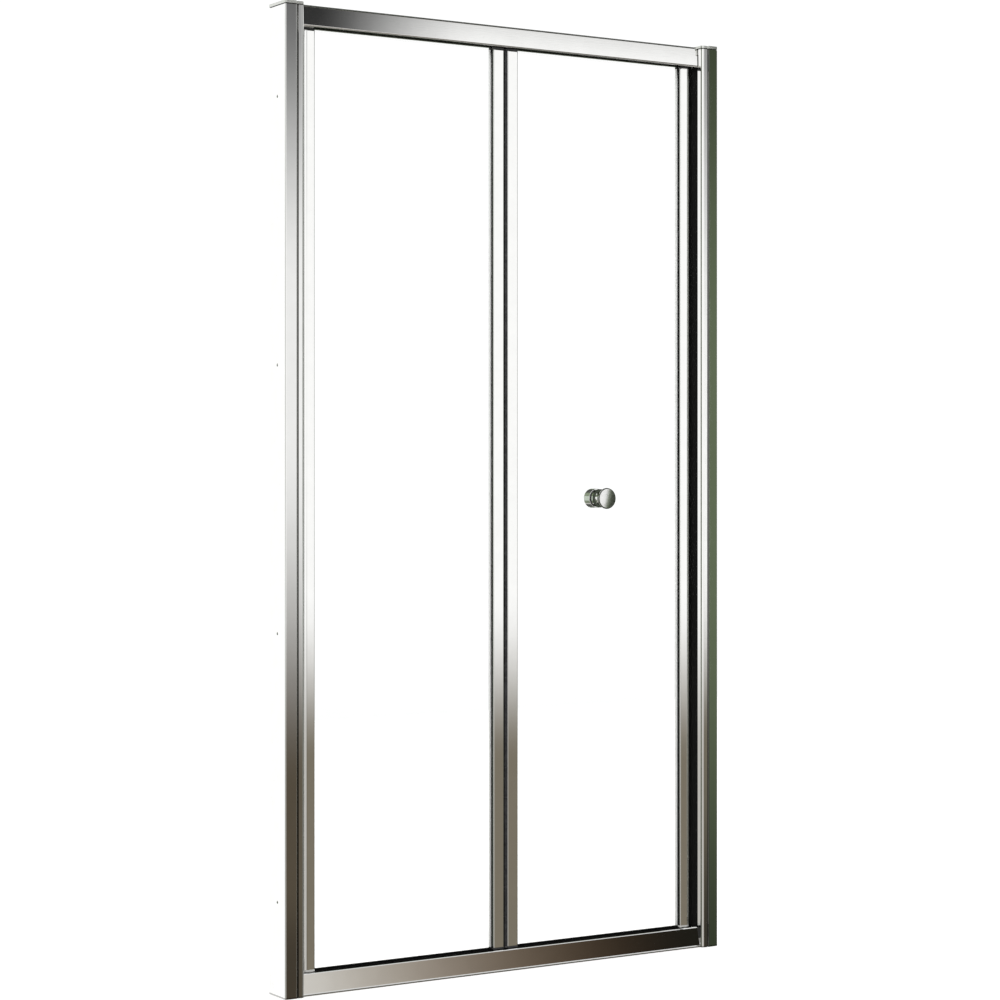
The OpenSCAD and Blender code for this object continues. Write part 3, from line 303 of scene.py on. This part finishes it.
def makeKnobChrome():
    material, tree, shader = newTree("knobChrome")
    masks, tone, rough = polishMasks(tree, knobFinish)
    point = splitPoint(tree)
    across = mathNode(tree, "SUBTRACT", point["X"], knobFinish["axis"][0])
    up = mathNode(tree, "SUBTRACT", point["Z"], knobFinish["axis"][1])
    radius = mathNode(tree, "SQRT", mathNode(tree, "ADD", mathNode(tree, "MULTIPLY", across, across),
                                             mathNode(tree, "MULTIPLY", up, up)))
    face = mathNode(tree, "LESS_THAN", point["Y"], knobFinish["faceAt"])
    # painted dark reflection: the face's edge and the flange's front take the dark colour
    paintedRimLine = mathNode(tree, "GREATER_THAN", radius, knobFinish["paintedRimAt"])
    collar = mathNode(tree, "COMPARE", point["Y"], *knobFinish["collar"])
    lines = mathNode(tree, "ADD", mathNode(tree, "MULTIPLY", paintedRimLine, face), collar, clamp=True)
    feed(tree, mixColour(tree, lines, tone, knobFinish["dark"]), shader.inputs["Base Color"])
    feed(tree, mapRange(tree, face, 0.0, 1.0, rough, knobFinish["faceRough"]), shader.inputs["Roughness"])
    shader.inputs["Metallic"].default_value = 1.0

    pick = tree.nodes.new("ShaderNodeMix")
    pick.data_type = "VECTOR"
    feed(tree, mathNode(tree, "MULTIPLY", face, mathNode(tree, "SUBTRACT", 1.0, paintedRimLine)), pick.inputs[0])
    tree.links.new(tree.nodes.new("ShaderNodeNewGeometry").outputs["Normal"], pick.inputs[4])
    tree.links.new(knobFaceNormal(tree, point, across, up), pick.inputs[5])
    tree.links.new(pick.outputs[1], shader.inputs["Normal"])
    return material


mouldedFinishes = {
    "blackSeal": {"dark": (0.001, 0.001, 0.001), "light": (0.004, 0.004, 0.004), "shine": 0.1,
                  "rough": (0.42, 0.6), "grain": 700.0, "stretch": (1.0, 1.0, 0.06), "bump": 0.12},
    "blackLiner": {"dark": (0.007, 0.007, 0.007), "light": (0.02, 0.02, 0.02),
                   "rough": (0.32, 0.48), "grain": 800.0, "stretch": (0.05, 1.0, 1.0), "bump": 0.08},
    "whiteNylon": {"dark": (0.74, 0.74, 0.71), "light": (0.86, 0.86, 0.84),
                   "rough": (0.34, 0.48), "grain": 1200.0, "stretch": (1.0, 1.0, 1.0), "bump": 0.06},
    "darkPlastic": {"dark": (0.03, 0.03, 0.032), "light": (0.065, 0.065, 0.068),
                    "rough": (0.36, 0.52), "grain": 1300.0, "stretch": (1.0, 1.0, 1.0), "bump": 0.1},
    "capPlastic": {"dark": (0.66, 0.67, 0.64), "light": (0.76, 0.77, 0.74), "metal": 0.8,
                   # painted shadow line: a thin dark band at their foot, with no metal shine
                   "foot": (1.8455, 0.001), "footTone": (0.02, 0.022, 0.018),
                   "rough": (0.1, 0.18), "grain": 1100.0, "stretch": (1.0, 1.0, 1.0), "bump": 0.03},
    "magnetStrip": {"dark": (0.028, 0.022, 0.018), "light": (0.06, 0.05, 0.042),
                    "rough": (0.55, 0.75), "grain": 900.0, "stretch": (1.0, 1.0, 0.1), "bump": 0.15},
    "clearGasket": {"dark": (0.93, 0.94, 0.93), "light": (0.98, 0.98, 0.98),
                    "rough": (0.2, 0.32), "grain": 700.0, "stretch": (1.0, 1.0, 0.06), "bump": 0.04},
    "clearBush": {"dark": (0.68, 0.7, 0.68), "light": (0.8, 0.82, 0.8),
                  "rough": (0.1, 0.2), "grain": 600.0, "stretch": (1.0, 1.0, 1.0), "bump": 0.03},
}


def makeMoulded(name):
    finish = mouldedFinishes[name]
    material, tree, shader = newTree(name)
    masks = place(tree, mouldGroup, {"Stretch": finish["stretch"], "Grain Scale": finish["grain"]})
    paint = mixColour(tree, masks["Cloud"], finish["dark"], finish["light"])
    metal = finish.get("metal", 0.0)
    if "foot" in finish:
        # painted shadow line: the band at the foot is darkened and its metal shine taken away
        foot = mathNode(tree, "COMPARE", splitPoint(tree)["Z"], *finish["foot"])
        paint = mixColour(tree, foot, paint, finish["footTone"])
        metal = mathNode(tree, "MULTIPLY", mathNode(tree, "SUBTRACT", 1.0, foot), metal)
    feed(tree, paint, shader.inputs["Base Color"])
    feed(tree, metal, shader.inputs["Metallic"])
    shader.inputs["Specular IOR Level"].default_value = finish.get("shine", 0.5)
    feed(tree, mapRange(tree, masks["Cloud"], 0.0, 1.0, *finish["rough"]), shader.inputs["Roughness"])
    addBump(tree, shader, masks["Height"], finish["bump"], 0.0003)
    return material


paneFinish = {
    "clear": (1.0, 1.0, 1.0),
    "tinted": (0.985, 0.995, 0.99),
    "ior": 1.46,
    "driftScale": 2.2,
    "markScale": 55.0,
    "markStretch": (1.0, 1.0, 0.35),
    "markRough": 0.02,  # faint wipe marks
    "bump": (0.02, 0.001),
}


def makePaneGlass():
    material, tree, shader = newTree("paneGlass")
    point = objectPoint(tree)
    drift = noiseNode(tree, point, paneFinish["driftScale"], 2.0, 0.4)
    tint = mixColour(tree, mapRange(tree, drift, 0.35, 0.65), paneFinish["clear"], paneFinish["tinted"])
    feed(tree, tint, shader.inputs["Base Color"])
    streaks = scaled(tree, point, paneFinish["markStretch"])
    marks = noiseNode(tree, streaks, paneFinish["markScale"], 5.0, 0.7)
    feed(tree, mapRange(tree, marks, 0.62, 0.9, 0.0, paneFinish["markRough"]), shader.inputs["Roughness"])
    shader.inputs["Transmission Weight"].default_value = 1.0
    shader.inputs["IOR"].default_value = paneFinish["ior"]
    addBump(tree, shader, drift, *paneFinish["bump"])
    return material


finishes = {"knobChrome": makeKnobChrome(), "paneGlass": makePaneGlass()}
for name in metalFinishes:
    finishes[name] = makeMetal(name)
for name in mouldedFinishes:
    finishes[name] = makeMoulded(name)
print("finishes made:", len(finishes))

nodeFinish = {
    "polishedUpright": ["left_wall_profile", "right_wall_profile", "left_jamb", "right_jamb",
                        "pivot_stile", "left_hinge_stile", "right_hinge_stile", "closing_stile"],
    "polishedRail": ["top_rail", "bottom_rail"],
    "blackLiner": ["top_track", "bottom_track"],
    "blackSeal": ["travel_stops", "pivot_seal", "closing_seal", "left_front_gaskets",
                  "right_front_gaskets", "hinge_seal", "left_bottom_seal", "right_bottom_seal",
                  "knob_washers"],
    "whiteNylon": ["top_pivot_block", "bottom_pivot_block", "pivot_stile_bottom_cap",
                   "closing_stile_bottom_cap", "top_guide_roller", "bottom_guide_roller"],
    "darkPlastic": ["pivot_stile_top_cap", "closing_stile_top_cap",
                    "left_hinge_stile_caps", "right_hinge_stile_caps"],
    "capPlastic": ["left_wall_profile_cap", "right_wall_profile_cap", "left_jamb_cap",
                   "right_jamb_cap", "left_screw_covers", "right_screw_covers"],
    "magnetStrip": ["jamb_magnet", "leaf_magnet"],
    "clearGasket": ["left_rear_gaskets", "right_rear_gaskets"],
    "clearBush": ["knob_bush"],
    "turnedSteel": ["rail_screws", "left_jamb_screws", "right_jamb_screws", "thrust_washer",
                    "top_pivot_pin", "bottom_pivot_pin", "hinge_pin", "left_hinge_screws",
                    "right_hinge_screws", "top_guide_pin", "bottom_guide_pin", "knob_screw"],
    "darkHinge": ["left_hinge_strip", "right_hinge_strip"],
    "knobChrome": ["front_knob", "rear_knob"],
    "paneGlass": ["left_glass", "right_glass"],
}


def setFinish(node, material):
    slots = nodes[node].data.materials
    if len(slots) == 0:
        slots.append(material)
    for i in range(len(slots)):
        slots[i] = material


for finish, members in nodeFinish.items():
    for member in members:
        setFinish(member, finishes[finish])
for pane in ("left_glass", "right_glass"):
    nodes[pane].visible_shadow = False  # clear panes leave no shadow on the floor
    nodes[pane].visible_glossy = False
for piece in ("left_jamb", "right_jamb", "bottom_rail", "closing_seal", "pivot_seal", "hinge_seal",
              "left_front_gaskets", "right_front_gaskets", "front_knob", "rear_knob"):
    nodes[piece].visible_glossy = False  # the faces beside them mirror the room alone
print("finishes set on", sum(len(m) for m in nodeFinish.values()), "nodes")


# What the polished metal mirrors, by direction: rise is the angle above the horizon and turn the
# angle from straight in front of the door towards its right, both in degrees. A band starts with
# its lowest brightness and paint; each line after it is a soft edge to the next ones.
room = {
    "background": 1.06,  # the white that the camera sees behind the door
    "fill": 0.85,  # the light on all that isn't polished
    "fillTone": (1.0, 0.995, 0.985),
    "paints": {
        "white": (1.0, 1.0, 0.99), "stone": (1.0, 0.97, 0.91), "earth": (1.0, 0.88, 0.67),
        "brown": (1.0, 0.81, 0.57), "leaf": (0.79, 1.0, 0.6), "moss": (0.88, 1.0, 0.7),
        "sage": (0.88, 1.0, 0.84),
    },
    "bands": {  # by rise
        "stiles": [  # ahead of the leaves: a pale wall over a brown floor
            (0.195, "earth"),
            (-6.6, -2.8, 1.0, "white")],
        "leftFrame": [  # a little to the left: the same wall, dim towards the ceiling and the floor
            (0.75, "stone"),
            (-22.0, -13.0, 0.055, "brown"),
            (-11.0, -9.2, 0.09, "brown"),
            (-7.2, 0.8, 0.87, "white"),
            (3.8, 10.6, 0.15, "white")],
        "rightJamb": [
            (0.7, "stone"),
            (-22.0, -12.0, 0.04, "earth"),
            (-10.5, -6.2, 0.17, "earth"),
            (-6.2, -2.2, 1.0, "white"),
            (1.5, 11.5, 0.24, "white")],
        "green": [  # garden green beside the wall
            (0.5, "stone"),
            (-15.0, -12.5, 0.035, "leaf"),
            (-12.5, -2.0, 0.15, "leaf"),
            (2.0, 11.0, 0.055, "leaf")],
        "deepGreen": [
            (0.018, "moss"),
            (-12.0, 0.0, 0.036, "leaf"),
            (0.0, 12.0, 0.025, "leaf")],
        "near": [  # left of the door: pale, and not so dark below the horizon
            (0.8, "stone"),
            (-90.0, -25.0, 0.62, "stone"),
            (-20.0, -8.0, 0.52, "stone"),
            (-6.5, -2.8, 1.0, "white")],
        "webPatch": [  # behind the door to the left
            (0.3, "sage"),
            (-80.0, -25.0, 0.15, "moss"),
            (-20.0, -11.0, 0.23, "stone"),
            (-11.0, -2.0, 1.03, "white"),
            (11.0, 17.5, 0.33, "sage"),
            (17.5, 24.0, 0.125, "leaf")],
        "whitePatch": [  # a pale wall a little further round
            (0.08, "leaf"),
            (-42.0, -20.0, 0.2, "leaf"),
            (-18.0, -14.5, 1.06, "white"),
            (12.5, 17.0, 0.26, "leaf"),
            (30.0, 42.0, 0.1, "leaf")],
        "palePatch": [  # a dimmer part of that wall
            (0.16, "leaf"),
            (-30.0, -18.0, 0.1, "leaf"),
            (-18.0, -13.0, 0.57, "sage"),
            (12.0, 17.0, 0.13, "leaf"),
            (17.0, 30.0, 0.27, "leaf")],
        "shade": [
            (0.4, "stone"),
            (-60.0, -17.0, 0.56, "stone"),
            (-17.0, -12.0, 0.085, "moss"),
            (-8.0, -4.0, 0.135, "moss")],
        "paleBack": [
            (0.5, "stone"),
            (-60.0, 30.0, 0.85, "white")],
        "hedge": [(0.125, "leaf")],
        "behind": [
            (0.5, "stone"),
            (-60.0, -15.0, 0.66, "stone"),
            (-15.0, -11.5, 0.125, "leaf")],
    },
    "zones": [  # (start, end, band): where each takes over, from behind on the left round the front
        (-166.0, -160.0, "whitePatch"), (-150.2, -149.2, "palePatch"), (-145.0, -144.4, "webPatch"),
        (-134.0, -126.0, "shade"), (-72.0, -66.0, "near"), (11.0, 15.5, "leftFrame"),
        (23.4, 27.8, "stiles"), (38.2, 39.6, "rightJamb"), (40.5, 41.2, "green"),
        (46.2, 48.4, "deepGreen"), (64.0, 70.0, "near"), (93.0, 96.0, "deepGreen"),
        (126.0, 130.0, "paleBack"), (144.0, 144.1, "hedge"), (158.0, 160.0, "behind")],
    "topRail": {
        "byTurn": [
            (0.034, "white"),
            (28.3, 32.2, 1.0, "white"),
            (40.0, 48.0, 0.3, "white")],
        "slope": 0.122,  # its lower edge lies this much lower at each degree further right
        "edge": 15.07,
        "dim": 0.56,  # how much darker one degree further up is
    },
    "bottomRail": {  # its front leans back, and what it mirrors fades away towards the right
        "turn": (28.6, 37.4),
        "near": (0.6, 0.58, 0.54),
        "fall": (2.0, 2.3, 2.6),  # how steeply red, green and blue fade
        "far": (0.013, 0.012, 0.009),
    },
}
# laid over the zones in this order, with soft edges given as (none, full) or (none, full, full, none);
# steep is the rise without its sign
ahead = (12.0, 17.0, 54.0, 62.0)
roomPatches = [
    ("topRail", {"turn": ahead, "rise": (10.3, 10.5)}),
    ("bottomRail", {"turn": ahead, "rise": (12.7, 13.4)}),
    ("bottomRail", {"turn": ahead, "rise": (-17.0, -20.0)}),
    ((0.02, "leaf"), {"turn": ahead, "rise": (17.5, 19.5)}),
    ((0.96, "white"), {"turn": (35.0, 30.0), "rise": (34.0, 44.0)}),
    ((0.02, "leaf"), {"turn": (60.0, 66.0), "steep": (24.0, 29.0)}),
    ((0.02, "leaf"), {"turn": (-168.0, -172.0), "steep": (24.0, 29.0)}),
    ((0.42, "stone"), {"turn": (28.0, 32.0, 76.0, 84.0), "rise": (-38.0, -44.0)}),
    ((0.7, "white"), {"turn": (62.0, 65.0, 75.0, 78.0), "rise": (48.0, 51.0, 61.0, 64.0)}),
]


def roomPaint(brightness, paint):
    return tuple(brightness * part for part in room["paints"][paint])


def byAngle(tree, angle, band):
    lowest, *edges = band
    colour = roomPaint(*lowest)
    if not edges:
        return colour
    low, high = edges[0][0], edges[-1][1]
    stops = []
    for start, end, *after in edges:
        if start not in (degrees for degrees, paint in stops):
            stops.append((start, colour))
        colour = roomPaint(*after)
        stops.append((end, colour))
    places = [((degrees - low) / (high - low), paint) for degrees, paint in stops]
    return rampNode(tree, mapRange(tree, angle, low, high), places)


def softMask(tree, angle, edges):
    mask = mapRange(tree, angle, edges[0], edges[1])
    if len(edges) == 4:
        mask = mathNode(tree, "MULTIPLY", mask, mapRange(tree, angle, edges[3], edges[2]))
    return mask


def topRailBand(tree, turn, rise):
    rail = room["topRail"]
    leant = mathNode(tree, "MULTIPLY_ADD", turn, rail["slope"], rise)
    above = mathNode(tree, "SUBTRACT", leant, rail["edge"])
    dim = mathNode(tree, "SUBTRACT", 1.0, mathNode(tree, "MULTIPLY", above, rail["dim"]), clamp=True)
    return scaled(tree, byAngle(tree, turn, rail["byTurn"]), dim)


def bottomRailBand(tree, turn):
    rail = room["bottomRail"]
    left = mathNode(tree, "SUBTRACT", 1.0, mapRange(tree, turn, *rail["turn"]))
    joined = tree.nodes.new("ShaderNodeCombineColor")
    for near, fall, far, socket in zip(rail["near"], rail["fall"], rail["far"], joined.inputs):
        feed(tree, mathNode(tree, "MULTIPLY_ADD", mathNode(tree, "POWER", left, fall), near, far), socket)
    return joined.outputs[0]


def mirroredRoom(tree):
    ray = tree.nodes.new("ShaderNodeTexCoord").outputs["Generated"]
    split = tree.nodes.new("ShaderNodeSeparateXYZ")
    tree.links.new(ray, split.inputs[0])
    x, y, z = split.outputs
    back = mathNode(tree, "MULTIPLY", y, -1.0)
    angles = {
        "rise": mathNode(tree, "DEGREES", mathNode(tree, "ARCSINE", z)),
        "turn": mathNode(tree, "DEGREES", mathNode(tree, "ARCTAN2", x, back)),
    }
    angles["steep"] = mathNode(tree, "ABSOLUTE", angles["rise"])

    colour = byAngle(tree, angles["rise"], room["bands"]["behind"])
    for start, end, band in room["zones"]:
        colour = mixColour(tree, mapRange(tree, angles["turn"], start, end), colour,
                           byAngle(tree, angles["rise"], room["bands"][band]))
    railBands = {
        "topRail": topRailBand(tree, angles["turn"], angles["rise"]),
        "bottomRail": bottomRailBand(tree, angles["turn"]),
    }
    for what, limits in roomPatches:
        share = 1.0
        for angle, edges in limits.items():
            share = mathNode(tree, "MULTIPLY", softMask(tree, angles[angle], edges), share)
        paint = railBands[what] if what in railBands else roomPaint(*what)
        colour = mixColour(tree, share, colour, paint)
    return colour


def backgroundNode(tree, colour, strength):
    node = tree.nodes.new("ShaderNodeBackground")
    feed(tree, colour, node.inputs["Color"])
    node.inputs["Strength"].default_value = strength
    return node.outputs[0]


def mixShaders(tree, factor, a, b):
    node = tree.nodes.new("ShaderNodeMixShader")
    for source, socket in zip((factor, a, b), node.inputs):
        tree.links.new(source, socket)
    return node.outputs[0]


def seenDirectly(tree):
    # 1 where the camera looks, also through glass
    path = tree.nodes.new("ShaderNodeLightPath").outputs
    return mathNode(tree, "ADD", path["Is Camera Ray"], path["Is Transmission Ray"], clamp=True)


def makeRoom():
    world = bpy.data.worlds.new("doorRoom")
    bpy.context.scene.world = world
    world.use_nodes = True
    tree = world.node_tree
    tree.nodes.clear()
    glossy = tree.nodes.new("ShaderNodeLightPath").outputs["Is Glossy Ray"]
    fill = backgroundNode(tree, (*room["fillTone"], 1.0), room["fill"])
    mirrored = backgroundNode(tree, mirroredRoom(tree), 1.0)
    white = backgroundNode(tree, (1.0, 1.0, 1.0, 1.0), room["background"])
    light = mixShaders(tree, glossy, fill, mirrored)
    end = tree.nodes.new("ShaderNodeOutputWorld")
    tree.links.new(mixShaders(tree, seenDirectly(tree), light, white), end.inputs["Surface"])


makeRoom()
print("room made of", len(room["zones"]), "zones and", len(roomPatches), "patches")

floorPlan = {
    "size": 9.0,
    "depth": 0.0004,
    "paint": (0.86, 0.86, 0.85),
    "lift": 0.42,  # shows it as white to the camera
    "rough": (0.55, 0.65),
    "speckScale": 60.0,
}


def makeFloor():
    # pale floor that keeps the door's soft shadow
    bpy.ops.mesh.primitive_plane_add(size=floorPlan["size"], location=(0.0, 0.0, -floorPlan["depth"]))
    floor = bpy.context.object
    floor.name = "paleFloor"
    material, tree, shader = newTree("paleFloor")
    speck = noiseNode(tree, objectPoint(tree), floorPlan["speckScale"], 3.0, 0.5)
    feed(tree, mapRange(tree, speck, 0.3, 0.7, *floorPlan["rough"]), shader.inputs["Roughness"])
    shader.inputs["Base Color"].default_value = (*floorPlan["paint"], 1.0)
    shader.inputs["Specular IOR Level"].default_value = 0.0
    shader.inputs["Emission Color"].default_value = (1.0, 1.0, 1.0, 1.0)
    feed(tree, mathNode(tree, "MULTIPLY", seenDirectly(tree), floorPlan["lift"]),
         shader.inputs["Emission Strength"])
    floor.data.materials.append(material)
    floor.visible_glossy = False


makeFloor()

lamps = {
    "key": {"place": (-1.8, -3.2, 3.4), "aim": (0.0, 0.0, 0.9), "size": 2.2, "power": 60.0},
    "back": {"place": (1.6, 3.0, 3.2), "aim": (0.0, 0.0, 0.9), "size": 2.4, "power": 35.0},
}


def addLamp(name, setup):
    data = bpy.data.lights.new(name, "AREA")
    data.size = setup["size"]
    data.energy = setup["power"]
    lamp = bpy.data.objects.new(name, data)
    lamp.location = setup["place"]
    away = lamp.location - type(lamp.location)(setup["aim"])
    lamp.rotation_euler = away.to_track_quat("Z", "Y").to_euler()
    lamp.visible_glossy = False
    lamp.visible_transmission = False
    lamp.visible_camera = False
    bpy.context.scene.collection.objects.link(lamp)


for lampName, setup in lamps.items():
    addLamp(lampName + "Lamp", setup)
bpy.context.scene.view_settings.view_transform = "Standard"
print("floor and lamps ready")
